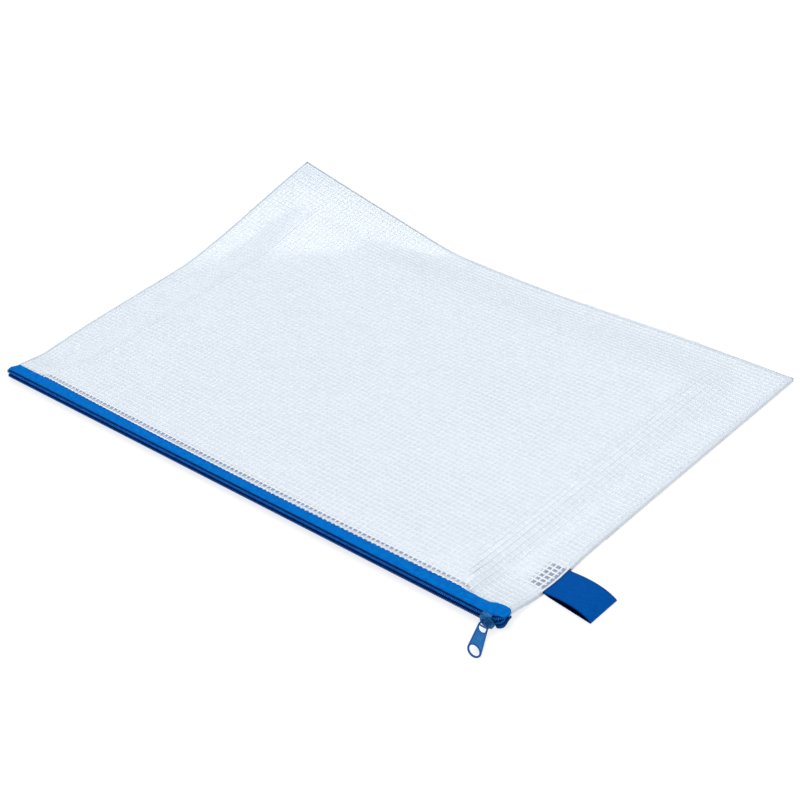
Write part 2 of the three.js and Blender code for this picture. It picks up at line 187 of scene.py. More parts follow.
# The ribbon loop
STRAP_WIDE = 19.5
STRAP_SLIM = 0.95
RIBBON = 0.4
RIBBON_ROOM = 0.04
SELVEDGE = 0.03
RIB_HIGH = 0.16
RIB_PITCH = 1.3
RIB_FROM = 199.5
STRAP_ROOT = 168.0
STRAP_MOUTH = 175.3
STRAP_TIP = 205.4
STRAP_ROOT_Y = -75.05
STRAP_TIP_Y = -78.55
STRAP_BULGE = 1.6
STRAP_BULGE_DEEP = 15.0
STRAP_BULGE_FROM = 150.0
STRAP_BULGE_RUN = 25.0
FRONT_STOP = STRAP_ROOT_Y - STRAP_WIDE / 2 - TOUCH
REAR_START = STRAP_ROOT_Y + STRAP_WIDE / 2 + TOUCH

# The slider, closed at the right end of the zip
NOSE_X = 174.7
PLATE_LEFT = 166.2
PLATE_BACK = -115.4
PLATE_FRONT = -116.5
PLATE_HALF = 3.4
NOSE_RADIUS = 0.75
SHOULDER = 3.3
REAR_RADIUS = 2.8
BRIDGE_X = 171.0
BRIDGE_HALF = 2.85
BRIDGE_BAR_Y = -119.475
BRIDGE_FOOT_IN = 0.35
BRIDGE_SIDES = 16
BRIDGE_SOFT = 3.0
RAIL_X = (167.1, 172.4)
RAIL_EDGES = (2.95, 3.55)
RAIL_Y = -114.95
POST_X = (170.5, 172.9)
POST_HALF = 0.2
POST_Y = -114.2
INNER_X = (166.9, 173.9)
INNER_HALF = 1.75
INNER_Y = -112.28

# The pull tab, in its own plane from the middle of the bridge's bar. Each round end is a place and a radius
TAB_ROOT = (0.1, 2.6)
TAB_END = (14.75, 3.65)
TAB_HOLE = 2.75
TAB_EYE = (0.1, 1.5, 1.9)
TAB_THICK = 0.46
TAB_INSET = 0.12
RIM_THICK = 0.7
RIM_WIDE = 0.62
HOLE_RIM_THICK = 0.66
HOLE_RIM_WIDE = 0.5
EYE_RIM_WIDE = 0.42
RIM_LAP = 0.08
TAB_TURN = (math.radians(-64.5), math.radians(2.5), math.radians(-42))


def clamp01(t):
    return np.clip(t, 0.0, 1.0)


def ease(t):
    s = clamp01(t)
    return s * s * (3 - 2 * s)


def mix(a, b, t):
    return a + (b - a) * t


# Surfaces of the sheets
def curl(x, y):
    """Height of the curled corner, nothing in front of its slanting fold."""
    along_back = (CURL_END - x) / CURL_BACK
    along_side = (y - CURL_FRONT) / CURL_SIDE
    past = np.maximum(along_back + along_side - 1, 0)
    started = np.where(past < CURL_START, past**2 / (2 * CURL_START), past - CURL_START / 2)
    t = started / (1 - CURL_START / 2)
    lean = np.clip((along_back - along_side) / np.maximum(1 - past, 1e-6), -1, 1)
    straight = CURL_STRAIGHT - CURL_LEAN * lean
    return CURL_HEIGHT * (straight * t + (1 - straight) * t * t)


def inside_of(x):
    return HALF - np.abs(x) - SEAM_INSET - SIDE_BACK


def rise(x, y):
    side = 1 - ease(inside_of(x) / RISE_WIDTH)
    return CORNER_RISE * side * (1 - ease((y - PANEL_FRONT) / RISE_RUN))


def underside(x, y):
    return curl(x, y) + rise(x, y)


def spread_of(x, y):
    """How far a place is from the seams: 0 on them, 1 in the open middle."""
    ramp = mix(FRONT_RAMP, SIDE_RAMP, ease((y - BAND_REAR) / RISE_RUN))
    return ease(inside_of(x) / ramp) * ease((BACK - y - SEAM_INSET - BACK_FOLD) / BACK_RAMP)


def waves(x, y):
    """Slow unevenness of a sheet that has been folded flat and opened again."""
    a = np.sin(x / 31 + 1.3 * np.sin(y / 47)) * np.sin(y / 26 + 0.8)
    b = np.sin((x + 2 * y) / 53 + 0.6) * np.sin((x - y) / 39)
    return PANEL_WAVE * (0.6 * a + 0.4 * b)


def upper_low(x, y):
    """Underside of the upper panel: low at the seams, full in the middle and along the zip."""
    lift = curl(x, y)
    full = mix(FULL_OVER_ZIP, FULL_MIDDLE, ease((y - BAND_REAR) / FULL_RUN))
    seam = SEAM_STACK + underside(x, y)
    open_low = lift + mix(full, SEAM_STACK, CURL_FLATTEN * clamp01(lift / CURL_HEIGHT))
    spread = spread_of(x, y)
    uneven = waves(x, y) * spread * ease((y - BAND_REAR) / WAVE_RUN)
    return mix(seam, np.maximum(seam, open_low), spread) + uneven


def hump(value, middle, reach):
    """1 at a middle, falling off smoothly over a reach on both sides."""
    return np.exp(-(((value - middle) / reach) ** 2))


def in_plan(x, y):
    """Where a sewn layer's point lies in plan.

    The curl pulls it, the front and back edges bow, the left front corner is drawn in and the ribbon bulges.
    """
    back = clamp01((y - PANEL_FRONT) / (BACK - PANEL_FRONT))
    pulled = CURL_PULL * (curl(x, y) / CURL_HEIGHT) ** 2
    at_strap = ease((x - STRAP_BULGE_FROM) / STRAP_BULGE_RUN)
    bulge = STRAP_BULGE * hump(y, STRAP_ROOT_Y, STRAP_BULGE_DEEP) * at_strap
    at_left = ease((-x - LEFT_PULL_FROM) / LEFT_PULL_RUN)
    corner = LEFT_PULL * hump(y, PANEL_FRONT, LEFT_PULL_DEEP) * at_left
    bow = hump(x, BACK_BOW_MIDDLE, BACK_BOW_REACH) * clamp01((HALF - np.abs(x)) / BACK_BOW_FADE)
    front = np.cos(np.clip(x / FRONT_BOW_HALF, -1, 1) * math.pi / 2) * (1 - back) ** 4
    return x + pulled + bulge + corner, y - BACK_BOW * bow * back**2 - FRONT_BOW * front


def lines(*parts):
    """Grid lines: each part is (from, to, step), and the last one's end is kept."""
    found = [np.linspace(a, b, max(1, round((b - a) / step)), endpoint=False) for a, b, step in parts]
    return np.concatenate(found + [[parts[-1][1]]])


# The panels' grid, close along the edges and wide in the middle
COLUMNS = lines((-HALF, -148, 1.8), (-148, 148, 6), (148, HALF, 1.8))
ROWS = lines((PANEL_FRONT, -85, 2.2), (-85, 80, 6), (80, BACK, 1.75))


# Meshes
def linked(name, data):
    """A new object in the scene, made from a mesh, curve, lamp or camera."""
    obj = bpy.data.objects.new(name, data)
    bpy.context.collection.objects.link(obj)
    return obj


def finish_mesh(name, verts, faces, look):
    """A smooth Blender object from points in millimetres, with its normals facing out."""
    mesh = bpy.data.meshes.new(name)
    mesh.from_pydata((np.asarray(verts) / 1000).tolist(), [], [list(map(int, f)) for f in faces])
    work = bmesh.new()
    work.from_mesh(mesh)
    bmesh.ops.recalc_face_normals(work, faces=work.faces)
    work.to_mesh(mesh)
    work.free()
    mesh.polygons.foreach_set("use_smooth", [True] * len(mesh.polygons))
    mesh.materials.append(look)
    return linked(name, mesh)


def grid_faces(rows, cols, start=0):
    i, j = np.meshgrid(np.arange(rows - 1), np.arange(cols - 1), indexing="ij")
    a = (start + i * cols + j).ravel()
    return np.stack([a, a + 1, a + cols + 1, a + cols], 1)


def sheet_faces(rows, cols):
    """Faces of a thin closed sheet: a grid of upper points, one of lower points, and the walls between."""
    count = rows * cols
    index = np.arange(count).reshape(rows, cols)
    edge = np.concatenate([index[0], index[1:, -1], index[-1, -2::-1], index[-2:0:-1, 0]])
    after = np.roll(edge, -1)
    walls = np.stack([edge, edge + count, after + count, after], 1)
    return np.concatenate([grid_faces(rows, cols), grid_faces(rows, cols, count)[:, ::-1], walls])


def slab(x, y, low, high):
    """Points and faces of a thin closed sheet over a plan grid, between two heights."""
    top = np.stack([x, y, high], -1).reshape(-1, 3)
    bottom = np.stack([x, y, low], -1).reshape(-1, 3)
    return np.concatenate([top, bottom]), sheet_faces(*x.shape)


def tube_faces(rings, sides):
    """Faces of a row of rings, closed at both ends."""
    i, k = np.meshgrid(np.arange(rings - 1), np.arange(sides), indexing="ij")
    a = (i * sides + k).ravel()
    b = (i * sides + (k + 1) % sides).ravel()
    last = (rings - 1) * sides
    return [*np.stack([a, b, b + sides, a + sides], 1), np.arange(sides)[::-1], last + np.arange(sides)]


def directions(path):
    """The unit direction of a path at each of its points."""
    way = np.gradient(path, axis=0)
    return way / np.linalg.norm(way, axis=1)[:, None]


def swept(path, across, over, u, v, size=1.0):
    """A closed tube whose rings have points that lie u across and v over the path, times a size."""
    ring = across[:, None, :] * u[..., None] + over[:, None, :] * v[..., None]
    return (path[:, None, :] + ring * size).reshape(-1, 3), tube_faces(len(path), u.shape[-1])


def tube(path, wide, thick, shape=None):
    """A closed tube along a path that lies fairly level. Its section is an ellipse, wide across the path and
    thick upwards. shape gives each ring's share of the full size."""
    path = np.asarray(path, float)
    tangent = directions(path)
    across = np.cross(np.broadcast_to((0.0, 0.0, 1.0), path.shape), tangent)
    across /= np.maximum(np.linalg.norm(across, axis=1)[:, None], 1e-9)
    over = np.cross(tangent, across)
    angle = 2 * math.pi * (np.arange(TUBE_SIDES) + 0.5) / TUBE_SIDES
    size = 1.0 if shape is None else shape[:, None, None]
    return swept(path, across, over, np.cos(angle) * wide / 2, np.sin(angle) * thick / 2, size)


class Parts:
    """Collects meshes that make one piece."""

    def __init__(self):
        self.verts = []
        self.faces = []
        self.count = 0

    def add(self, made):
        verts, faces = made
        self.verts.append(verts)
        self.faces.extend([f + self.count for f in faces])
        self.count += len(verts)

    def build(self, name, look):
        return finish_mesh(name, np.concatenate(self.verts), self.faces, look)


# Materials
WAVE_SCALE = 0.314
RIB_TURN = math.radians(38)


class Look:
    """A material on one Principled shader, whose patterns are laid out in millimetres on the object."""

    def __init__(self, name, colour, roughness, **sockets):
        self.material = bpy.data.materials.new(name)
        self.material.use_nodes = True
        self.tree = self.material.node_tree
        self.shader = self.tree.nodes["Principled BSDF"]
        self.shader.inputs["Base Color"].default_value = (*colour, 1)
        self.shader.inputs["Roughness"].default_value = roughness
        for socket, value in sockets.items():
            self.shader.inputs[socket.replace("_", " ")].default_value = value
        self.place = self.tree.nodes.new("ShaderNodeTexCoord").outputs["Object"]

    def node(self, kind, **settings):
        made = self.tree.nodes.new(kind)
        for key, value in settings.items():
            setattr(made, key, value)
        return made

    def link(self, source, target):
        self.tree.links.new(source, target)

    def mapped(self, size, turn=(0, 0, 0)):
        """Object coordinates turned, then divided by a size in millimetres along each axis."""
        turned = self.node("ShaderNodeMapping")
        turned.inputs["Rotation"].default_value = turn
        scaled = self.node("ShaderNodeMapping")
        scaled.inputs["Scale"].default_value = [1000 / s for s in size]
        self.link(self.place, turned.inputs["Vector"])
        self.link(turned.outputs["Vector"], scaled.inputs["Vector"])
        return scaled.outputs["Vector"]

    def noise(self, size, detail=2.0):
        made = self.node("ShaderNodeTexNoise")
        made.inputs["Scale"].default_value = 1
        made.inputs["Detail"].default_value = detail
        self.link(self.mapped(size), made.inputs["Vector"])
        return made.outputs["Fac"]

    def wave(self, size, direction, distortion, turn=(0, 0, 0)):
        """Stripes, one every size millimetres: at WAVE_SCALE, Blender's waves are one unit long."""
        made = self.node("ShaderNodeTexWave", bands_direction=direction)
        made.inputs["Scale"].default_value = WAVE_SCALE
        made.inputs["Distortion"].default_value = distortion
        self.link(self.mapped((size, size, size), turn), made.inputs["Vector"])
        return made.outputs["Fac"]

    def math(self, operation, a, b):
        made = self.node("ShaderNodeMath", operation=operation)
        for socket, value in zip(made.inputs, (a, b)):
            if isinstance(value, (int, float)):
                socket.default_value = value
            else:
                self.link(value, socket)
        return made.outputs[0]

    def plus(self, a, b):
        return self.math("ADD", a, b)

    def times(self, a, b):
        return self.math("MULTIPLY", a, b)

    def axis(self, name):
        """One object coordinate in millimetres."""
        apart = self.node("ShaderNodeSeparateXYZ")
        self.link(self.place, apart.inputs["Vector"])
        return self.times(apart.outputs[name], 1000)

    def away(self, name, middle, near, far):
        """0 within a distance of a place along one axis, growing to 1 at a further distance."""
        off = self.math("ABSOLUTE", self.math("SUBTRACT", self.axis(name), middle), 0)
        return self.span(off, 0.0, 1.0, near, far)

    def span(self, factor, low, high, start=0.3, end=0.7):
        made = self.node("ShaderNodeMapRange")
        made.inputs["From Min"].default_value = start
        made.inputs["From Max"].default_value = end
        made.inputs["To Min"].default_value = low
        made.inputs["To Max"].default_value = high
        self.link(factor, made.inputs["Value"])
        return made.outputs["Result"]

    def blend(self, factor, first, second):
        """A colour between two, each a plain colour or another pattern's output."""
        made = self.node("ShaderNodeMix", data_type="RGBA")
        self.link(factor, made.inputs["Factor"])
        for name, value in (("A", first), ("B", second)):
            socket = [s for s in made.inputs if s.name == name and s.type == "RGBA"][0]
            if isinstance(value, tuple):
                socket.default_value = (*value, 1)
            else:
                self.link(value, socket)
        return [s for s in made.outputs if s.type == "RGBA"][0]

    def paint(self, source):
        self.link(source, self.shader.inputs["Base Color"])

    def feed(self, source, socket):
        self.link(source, self.shader.inputs[socket])

    def bump(self, height, depth, strength):
        """Relief of a depth in millimetres."""
        made = self.node("ShaderNodeBump")
        made.inputs["Strength"].default_value = strength
        made.inputs["Distance"].default_value = depth / 1000
        self.link(height, made.inputs["Height"])
        self.link(made.outputs["Normal"], self.shader.inputs["Normal"])


def film_look(name, colour, far, clear, frosted):
    """Frosted film. It looks clear only where it touches what is under it: on the tape and the ribbon's ends.
    The other panel's net, which the film hides, is painted on it as a faint darker tone: a painted
    see-through shade."""
    look = Look(name, colour, 0.2, IOR=1.5)
    crinkle = look.noise((14, 9, 14), 3.0)
    fine = look.noise((2.2, 2.2, 2.2))
    behind_tape = look.span(look.axis("Y"), 0.0, 1.0, CLEAR_FRONT, CLEAR_REAR)
    past_tape = look.away("X", 0, TAPE_HALF - CLEAR_FADE, TAPE_HALF)
    before_ribbon = look.span(look.axis("X"), 1.0, 0.0, STRAP_ROOT - CLEAR_FADE, STRAP_ROOT)
    beside_ribbon = look.away("Y", STRAP_ROOT_Y, STRAP_WIDE / 2 - 2, STRAP_WIDE / 2)
    apart = look.math("MINIMUM", look.math("MAXIMUM", behind_tape, past_tape),
                      look.math("MAXIMUM", before_ribbon, beside_ribbon))
    full = look.span(crinkle, frosted - 0.04, frosted + 0.04)
    touching = look.math("SUBTRACT", 1, apart)
    look.feed(look.plus(look.times(apart, full), look.times(touching, clear)), "Alpha")
    look.feed(look.span(fine, 0.16, 0.3), "Roughness")
    turn = (0, 0, LOWER_TURN)
    # Painted see-through shade of the other panel's net.
    net = look.times(look.wave(PITCH_X, "X", 0.4, turn), look.wave(PITCH_Y, "Y", 0.4, turn))
    tone = look.plus(look.times(net, 0.7), look.times(crinkle, 0.4))
    look.paint(look.blend(tone, colour, far))
    look.bump(look.plus(look.times(crinkle, 4.0), fine), 0.12, 0.6)
    return look.material


def thread_look(name, colour, shade, roughness=0.5, alpha=1.0):
    """Twisted white or blue thread, a little cloudy along its length."""
    look = Look(name, colour, roughness, Alpha=alpha)
    cloud = look.noise((9, 9, 9))
    twist = look.wave(0.55, "DIAGONAL", 1.5)
    worn = look.plus(look.times(twist, 0.5), look.times(cloud, 0.7))
    look.paint(look.blend(look.span(worn, 0.0, 1.0), colour, shade))
    look.feed(look.span(cloud, roughness - 0.07, roughness + 0.07), "Roughness")
    look.bump(twist, 0.05, 0.4)
    return look.material


def off_the_painted_lip_shade(look):
    """0 where shade is painted on the lip behind the coil, 1 on the rest of a zip tape."""
    # Painted shade: the lip beside the coil takes the deep colour, a little less at the right end.
    beside = look.away("Z", ZIP_Z - 0.35, UPPER_LIP, UPPER_LIP + 0.15)
    return look.math("MAXIMUM", beside, look.span(look.axis("X"), 0.0, 0.35, TUCK_FROM, TUCK_FROM + 1))


def off_the_loop_shade_and_edges(look):
    """0 inside the ribbon loop, where shade is painted, low along the ribbon's woven edges, 1 on the rest."""
    slope = (STRAP_TIP_Y - STRAP_ROOT_Y) / (STRAP_TIP - STRAP_MOUTH)
    drift = look.times(look.math("SUBTRACT", look.axis("X"), STRAP_MOUTH), slope)
    off = look.math("SUBTRACT", look.math("SUBTRACT", look.axis("Y"), STRAP_ROOT_Y), drift)
    edges = look.span(look.math("ABSOLUTE", off, 0), 1.0, 0.45, 8.8, 9.15)
    # Painted shade inside the loop; the two edges are only darkened.
    return look.math("MINIMUM", edges, look.away("Z", 0.49, 0.05, 0.09))


def cloth_look(name, dark, colour, light, yarn, deep, kept):
    """Fine twill: two crossing sets of yarn with a slanting rib, and cloudy dyeing.

    kept gives 0 where only the deep colour shows, which is painted shade.
    """
    look = Look(name, colour, 0.8, Specular_IOR_Level=0.03)
    along = look.wave(yarn, "X", 0.6)
    across = look.wave(yarn, "Y", 0.6)
    rib = look.wave(2.1 * yarn, "X", 0.8, (0, 0, RIB_TURN))
    cloud = look.noise((11, 5, 5), 3.0)
    grain = look.noise((2.4, 1.7, 1.7), 3.0)
    weave = look.plus(look.times(along, 0.3), look.plus(look.times(across, 0.3), look.times(rib, 0.4)))
    worn = look.plus(look.times(weave, 0.4), look.times(grain, 0.6))
    tone = look.blend(look.span(worn, 0.0, 1.0, 0.25, 0.75), dark, light)
    tone = look.blend(look.span(cloud, 0.0, 0.5), tone, colour)
    # The deep colour is painted shade where kept is 0.
    look.paint(look.blend(kept(look), deep, tone))
    look.feed(look.span(grain, 0.7, 0.9), "Roughness")
    look.bump(weave, 0.12, 0.7)
    return look.material


def wire_look(name, dark, colour, painted_parting_shade=None):
    """Plain filament, with shade painted darker where the two coils meet."""
    look = Look(name, colour, 0.4, Specular_IOR_Level=0.1)
    cloud = look.noise((3, 3, 3))
    tone = look.blend(look.span(cloud, 0.0, 1.0), dark, colour)
    if painted_parting_shade is not None:
        # Painted shade in the parting between the coils, none at the right end past the slider's post.
        apart = look.math("MAXIMUM", look.away("Z", ZIP_Z, 0.82, 0.95),
                          look.span(look.axis("X"), 0.0, 1.0, TUCK_FROM, TUCK_FROM + 1))
        tone = look.blend(apart, painted_parting_shade, tone)
    look.paint(tone)
    look.feed(look.span(look.noise((0.6, 0.6, 0.6)), 0.28, 0.46), "Roughness")
    look.bump(cloud, 0.04, 0.4)
    return look.material


def enamel_look(name, dark, colour, light, streak):
    """Sprayed enamel on a small casting, with fine streaks and a rubbed tone in places."""
    look = Look(name, colour, 0.36, Metallic=0.25, Specular_IOR_Level=0.12)
    rubbed = look.noise((1.6, 1.6, 1.6), 3.0)
    lined = look.noise(streak, 3.0)
    tone = look.blend(look.span(lined, 0.0, 1.0), dark, light)
    look.paint(look.blend(look.span(rubbed, 0.1, 0.7), tone, colour))
    look.feed(look.span(lined, 0.25, 0.45), "Roughness")
    look.bump(look.plus(rubbed, lined), 0.03, 0.5)
    return look.material


# The film's second colour is the painted see-through shade of the other panel's net.
FILM_LOOK = film_look("clear_film", (0.765, 0.825, 0.90), (0.735, 0.80, 0.885), 0.24, 0.9)
FOLD_LOOK = film_look("folded_film", (0.76, 0.825, 0.905), (0.73, 0.795, 0.885), 0.14, 0.88)
SCRIM_LOOK = thread_look("scrim_thread", (0.79, 0.855, 0.925), (0.765, 0.83, 0.905), 0.27)
FOLD_SCRIM_LOOK = thread_look("folded_scrim_thread", (0.78, 0.845, 0.92), (0.75, 0.82, 0.90), 0.3)
SEWING_LOOK = thread_look("sewing_thread", (0.86, 0.88, 0.94), (0.74, 0.78, 0.88), 0.5, 0.8)
# The core cord inside the coil is coloured dark blue as painted shade.
PAINTED_SHADE_CORD_LOOK = thread_look("coil_cord", (0.01, 0.06, 0.24), (0.005, 0.03, 0.14))
# The tape's deep colour is painted shade on the lip behind the coil.
TAPE_LOOK = cloth_look("tape_twill", (0.0, 0.075, 0.36), (0.0, 0.15, 0.56), (0.0, 0.225, 0.74), 0.5,
                       (0.0, 0.012, 0.075), off_the_painted_lip_shade)
# The ribbon's deep colour is painted shade inside the loop, and darkens its two edges.
RIBBON_LOOK = cloth_look("ribbon_twill", (0.0, 0.05, 0.27), (0.0, 0.078, 0.36), (0.0, 0.11, 0.45), 0.42,
                         (0.0, 0.002, 0.02), off_the_loop_shade_and_edges)
# The coil's last colour is painted shade in the parting between the two coils.
COIL_LOOK = wire_look("coil_wire", (0.0, 0.09, 0.42), (0.0, 0.15, 0.58), (0.0, 0.005, 0.03))
# The coil's sewing thread is dark blue, and its darkness also paints the shade of the groove between coil and
# tape.
COIL_SEWING_LOOK = wire_look("coil_sewing", (0.0, 0.014, 0.085), (0.0, 0.04, 0.21))
SLIDER_LOOK = enamel_look("slider_enamel", (0.0, 0.03, 0.11), (0.0, 0.08, 0.25), (0.01, 0.17, 0.42),
                          (2, 2, 2))
TAB_LOOK = enamel_look("tab_enamel", (0.0, 0.10, 0.36), (0.008, 0.15, 0.46), (0.06, 0.24, 0.52),
                       (5, 0.28, 5))
RIM_LOOK = enamel_look("tab_rim_enamel", (0.0, 0.06, 0.28), (0.0, 0.085, 0.36), (0.005, 0.11, 0.42),
                       (3, 1, 3))


# Mesh sheets
def panel_film(name, surface):
    """The film of one panel, in the middle of its sheet."""
    grid_x, grid_y = np.meshgrid(COLUMNS, ROWS)
    x, y = in_plan(grid_x, grid_y)
    middle = surface(grid_x, grid_y) + SHEET / 2
    return finish_mesh(name, *slab(x, y, middle - FILM / 2, middle + FILM / 2), FILM_LOOK)


def wander(along, number):
    """Sideways drift of a thread, which is never quite straight."""
    return 0.14 * np.sin(along / 37 + 2.4 * number) + 0.1 * np.sin(along / 90 + 0.7 * number)


def scrim(surface, turn, shift):
    """The net of threads in one panel, turned and shifted in its plane."""
    net = Parts()
    slope = math.tan(turn)

    def lay(x, y, wide, start):
        keep = (np.abs(x) < HALF - EDGE_GAP) & (y > start) & (y < BACK - EDGE_GAP)
        cuts = np.flatnonzero(np.diff(keep.astype(int))) + 1
        for run in np.split(np.arange(len(keep)), cuts):
            if not keep[run[0]] or len(run) < 3:
                continue
            px, py = in_plan(x[run], y[run])
            net.add(tube(np.stack([px, py, surface(x[run], y[run]) + SHEET / 2], -1), wide, THREAD_THICK))

    wefts = math.ceil((BACK - PANEL_FRONT) / PITCH_Y)
    for number in range(-SPARE_THREADS, wefts + SPARE_THREADS):
        y0 = PANEL_FRONT + WEFT_WIDE / 2 + shift[1] + PITCH_Y * number
        lay(COLUMNS, y0 + slope * COLUMNS + wander(COLUMNS, number), WEFT_WIDE, PANEL_FRONT + EDGE_GAP)
    rows = np.concatenate([[PANEL_FRONT - FRINGE], ROWS])
    warps = math.ceil(HALF / PITCH_X)
    for number in range(-warps - SPARE_THREADS, warps + SPARE_THREADS):
        x0 = shift[0] + PITCH_X * (number + 0.5)
        lay(x0 - slope * rows + wander(rows, number), rows, WARP_WIDE, PANEL_FRONT - 2 * FRINGE)
    return net


def ride_on(obj, body, slot_name, *nodes):
    """Ties a piece to a body and hides the imported nodes that it stands for. The slot name is not used."""
    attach(obj, body)
    if nodes:
        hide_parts(*nodes)
    return obj


bottom_film = ride_on(panel_film("bottom_film", underside), "pouch", "clear_mesh", "bottom_mesh_panel")
bottom_scrim = ride_on(scrim(underside, LOWER_TURN, LOWER_SHIFT).build("bottom_scrim", SCRIM_LOOK),
                       "pouch", "clear_mesh")
top_film = ride_on(panel_film("top_film", upper_low), "pouch", "clear_mesh", "top_mesh_panel")
top_scrim = ride_on(scrim(upper_low, 0, UPPER_SHIFT).build("top_scrim", SCRIM_LOOK), "pouch", "clear_mesh")


# Turned-in edges: two plies of the same sheet inside each seam
def over_lower(x, y, height):
    """A path along the lower panel, at a height over its underside."""
    px, py = in_plan(x, y)
    return np.stack([px, py, underside(x, y) + height], -1)


def fold_piece(name, columns_of, rows, turned, node):
    """Film and threads of one turned-in edge.

    columns_of gives the columns of a row, and turned the places where the sheet is turned round outside it.
    """
    x = np.stack([columns_of(row) for row in rows])
    y = np.broadcast_to(rows[:, None], x.shape)
    px, py = in_plan(x, y)
    films, net = Parts(), Parts()
    for ply in (0, 1):
        height = SEAM_LOW + SHEET / 2 + SHEET * ply
        middle = underside(x, y) + height
        films.add(slab(px, py, middle - FILM / 2, middle + FILM / 2))
        drift = PLY_SHIFT_Y * ply
        first = math.ceil((rows[0] - drift) / PITCH_Y)
        last = math.floor((rows[-1] - drift) / PITCH_Y)
        for number in range(first, last + 1):
            line = number * PITCH_Y + drift
            across = columns_of(line)
            net.add(tube(over_lower(across, np.full_like(across, line), height), WEFT_WIDE, THREAD_THICK))
        warps = math.ceil(HALF / PITCH_X)
        for number in range(-warps, warps + 1):
            line = (number + PLY_SHIFT_X * ply) * PITCH_X
            keep = (line > x[:, 0] + TOUCH) & (line < x[:, -1] - TOUCH)
            if keep.sum() > 1:
                along = rows[keep]
                net.add(tube(over_lower(np.full_like(along, line), along, height), WARP_WIDE, THREAD_THICK))
    for edge in turned:
        films.add(rolled_edge(*edge))
    film = ride_on(films.build(f"{name}_film", FOLD_LOOK), "pouch", "folded_mesh", node)
    threads = ride_on(net.build(f"{name}_scrim", FOLD_SCRIM_LOOK), "pouch", "folded_mesh")
    return film, threads


def rolled_edge(x, y, out_x, out_y):
    """The sheet turned round a sewn edge, lapping under the lower panel and over the upper one."""
    px, py = in_plan(x, y)
    low = underside(x, y) + SHEET / 2
    high = upper_low(x, y) + SHEET / 2
    turn = np.linspace(-math.pi / 2, math.pi / 2, 7)
    bend = [(EDGE_BULGE * math.cos(t), math.sin(t)) for t in turn]
    middle = [(-EDGE_LAP, -1.0), *bend, (-EDGE_LAP, 1.0)]
    facing = [turn[0], *turn, turn[-1]]
    section = []
    for side in (1, -1):
        half = side * FILM / 2
        face = [(out + half * math.cos(t), up, EDGE_CLEAR * up + half * math.sin(t))
                for (out, up), t in zip(middle, facing)]
        section += face[::side]
    rings = np.stack([
        np.stack([px + out * out_x, py + out * out_y, mix(low, high, (1 + up) / 2) + lift], -1)
        for out, up, lift in section
    ], 1)
    return rings.reshape(-1, 3), tube_faces(len(px), len(section))


def side_width(y):
    return mix(SIDE_FRONT, SIDE_BACK, (y - SEAM_FRONT) / (SEAM_BACK - SEAM_FRONT))


def left_columns(y):
    return np.linspace(-SEAM_OUTER, -SEAM_OUTER + side_width(y), 6)


def right_columns(y):
    notched = FRONT_STOP < y < REAR_START
    outer = STRAP_ROOT - TOUCH if notched else SEAM_OUTER
    return np.linspace(SEAM_OUTER - side_width(y), outer, 6)


def back_columns(_):
    inner = SEAM_OUTER - SIDE_BACK - TOUCH
    return lines((-inner, inner, 6))


fold_rows = ROWS[(ROWS > SEAM_FRONT + ROW_GAP) & (ROWS < SEAM_BACK - ROW_GAP)]
fold_rows = np.concatenate([[SEAM_FRONT], fold_rows, [SEAM_BACK]])
notch_rows = [stop + step for step in (-NOTCH_STEP, NOTCH_STEP) for stop in (FRONT_STOP, REAR_START)]
right_rows = np.sort(np.concatenate([fold_rows, notch_rows]))
back_rows = np.linspace(SEAM_BACK - BACK_FOLD, SEAM_BACK, 5)
whole = lines((PANEL_FRONT + EDGE_GAP, BACK - EDGE_GAP, 2.5))
near = lines((PANEL_FRONT + EDGE_GAP, FRONT_STOP, 2.5))
far = lines((REAR_START, BACK - EDGE_GAP, 2.5))
along_back = lines((-HALF + 2 * EDGE_GAP, HALF - 2 * EDGE_GAP, 3))
left_edge = (np.full_like(whole, -HALF + EDGE_GAP / 2), whole, -1, 0)
right_edges = [(np.full_like(run, HALF - EDGE_GAP / 2), run, 1, 0) for run in (near, far)]
back_edge = (along_back, np.full_like(along_back, BACK - EDGE_GAP / 2), 0, 1)
left_fold = fold_piece("left_fold", left_columns, fold_rows, [left_edge], "left_seam_allowance")
right_fold = fold_piece("right_fold", right_columns, right_rows, right_edges, "right_seam_allowance")
back_fold = fold_piece("back_fold", back_columns, back_rows, [back_edge], "back_seam_allowance")


# Sewing
def lengths(path):
    """How far along a path each of its points is."""
    return np.concatenate([[0], np.cumsum(np.linalg.norm(np.diff(path, axis=0), axis=1))])


def read_at(at, length, values):
    """Values given at some lengths, read at others."""
    return np.stack([np.interp(at, length, column) for column in values.T], -1)


def resampled(path, step):
    """The same path with points a step apart, and how far along each one is."""
    path = np.asarray(path, float)
    length = lengths(path)
    at = np.linspace(0, length[-1], max(2, round(length[-1] / step)))
    return read_at(at, length, path), at


def stitch_piece(name, path, size, look, slot_name, node):
    """A running row of stitches: each swells in its middle and dips at the needle holes."""
    stitch, wide, thick = size
    points, at = resampled(path, stitch / 5)
    share = np.abs(np.sin(math.pi * at / stitch)) ** 0.5
    dip = np.zeros_like(points)
    dip[:, 2] = -0.5 * thick * (1 - share)
    row = tube(points + dip, wide, thick, shape=0.45 + 0.55 * share)
    return ride_on(finish_mesh(name, *row, look), "pouch", slot_name, node)


